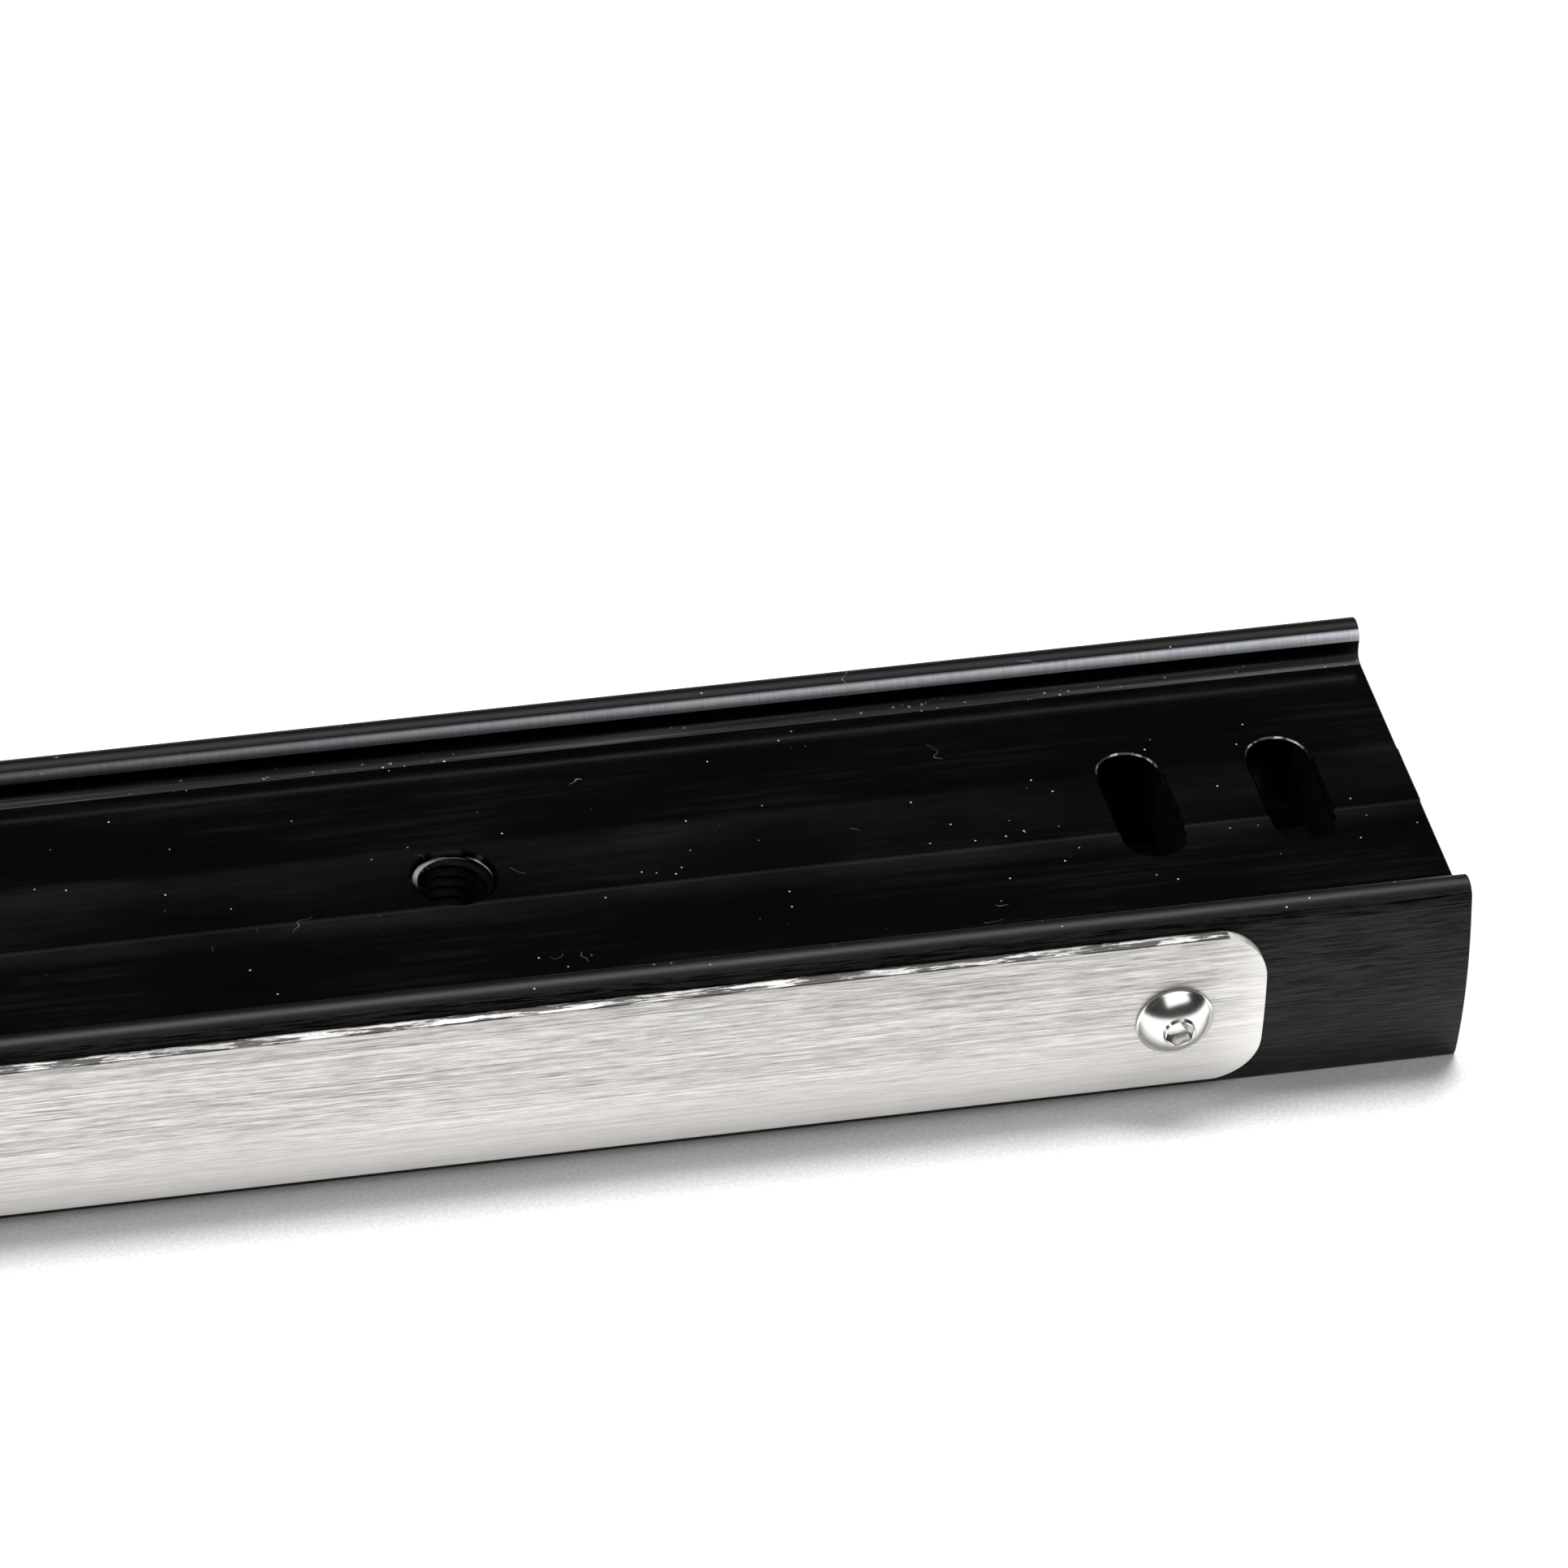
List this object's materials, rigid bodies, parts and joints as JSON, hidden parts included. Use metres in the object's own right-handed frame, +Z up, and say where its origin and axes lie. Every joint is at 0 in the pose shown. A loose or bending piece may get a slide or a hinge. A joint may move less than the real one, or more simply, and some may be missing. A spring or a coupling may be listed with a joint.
{
  "type": "cabinet drawer slide",
  "caption": "Drawer slide: black extruded rail with stainless running strips on its crowned sides and a carriage on hourglass rollers that runs along it.",
  "frame": {"origin": "middle of the rail's underside, which lies on z = 0", "axes": "+X along the rail towards the open end of the carriage's travel, +Y across the rail, +Z up out of the shallow channel"},
  "size_m": [0.5, 0.0848, 0.0305],
  "materials": {
    "black_anodised_aluminium": "satin black anodised extrusion, brushed along its length",
    "black_anodised_plate": "fine matt black anodised, milled",
    "brushed_stainless": "stainless steel brushed along its length",
    "polished_stainless": "polished stainless steel",
    "bearing_steel": "ground bearing steel",
    "white_acetal": "machined natural acetal",
    "black_nylon": "fine textured black nylon",
    "black_rubber": "matt black rubber"
  },
  "bodies": {
    "rail_assembly": {"rail": "black_anodised_aluminium", "front_running_strip": "brushed_stainless", "rear_running_strip": "brushed_stainless", "front_strip_screws": "polished_stainless", "rear_strip_screws": "polished_stainless"},
    "carriage": {"carriage_plate": "black_anodised_plate", "front_glide_pad": "white_acetal", "rear_glide_pad": "white_acetal", "left_end_cap": "black_nylon", "right_end_cap": "black_nylon", "left_wiper": "black_rubber", "right_wiper": "black_rubber", "left_buffers": "black_rubber", "right_buffers": "black_rubber", "end_cap_screws": "polished_stainless", "roller_bolts": "polished_stainless", "roller_collars": "bearing_steel", "roller_washers": "bearing_steel", "roller_nuts": "polished_stainless", "bearing_inner_rings": "bearing_steel", "bearing_spacers": "bearing_steel"},
    "front_left_wheel": {"front_left_roller": "white_acetal", "front_left_outer_rings": "bearing_steel", "front_left_balls": "bearing_steel"},
    "front_right_wheel": {"front_right_roller": "white_acetal", "front_right_outer_rings": "bearing_steel", "front_right_balls": "bearing_steel"},
    "rear_left_wheel": {"rear_left_roller": "white_acetal", "rear_left_outer_rings": "bearing_steel", "rear_left_balls": "bearing_steel"},
    "rear_right_wheel": {"rear_right_roller": "white_acetal", "rear_right_outer_rings": "bearing_steel", "rear_right_balls": "bearing_steel"}
  },
  "joints": [
    {"name": "carriage_slide", "type": "slide", "parent": "rail_assembly", "child": "carriage", "axis": [1, 0, 0], "range_m": [0, 0.268]},
    {"name": "front_left_roll", "type": "hinge", "parent": "carriage", "child": "front_left_wheel", "pos_m": [-0.186, -0.03235, 0.0105], "axis": [0, 0, 1], "continuous": true},
    {"name": "front_right_roll", "type": "hinge", "parent": "carriage", "child": "front_right_wheel", "pos_m": [-0.082, -0.03235, 0.0105], "axis": [0, 0, 1], "continuous": true},
    {"name": "rear_left_roll", "type": "hinge", "parent": "carriage", "child": "rear_left_wheel", "pos_m": [-0.186, 0.03235, 0.0105], "axis": [0, 0, 1], "continuous": true},
    {"name": "rear_right_roll", "type": "hinge", "parent": "carriage", "child": "rear_right_wheel", "pos_m": [-0.082, 0.03235, 0.0105], "axis": [0, 0, 1], "continuous": true}
  ],
  "couplings": [
    {"joint": "front_left_roll", "follows": "carriage_slide", "rad_per_m": 125},
    {"joint": "front_right_roll", "follows": "carriage_slide", "rad_per_m": 125},
    {"joint": "rear_left_roll", "follows": "carriage_slide", "rad_per_m": -125},
    {"joint": "rear_right_roll", "follows": "carriage_slide", "rad_per_m": -125}
  ]
}
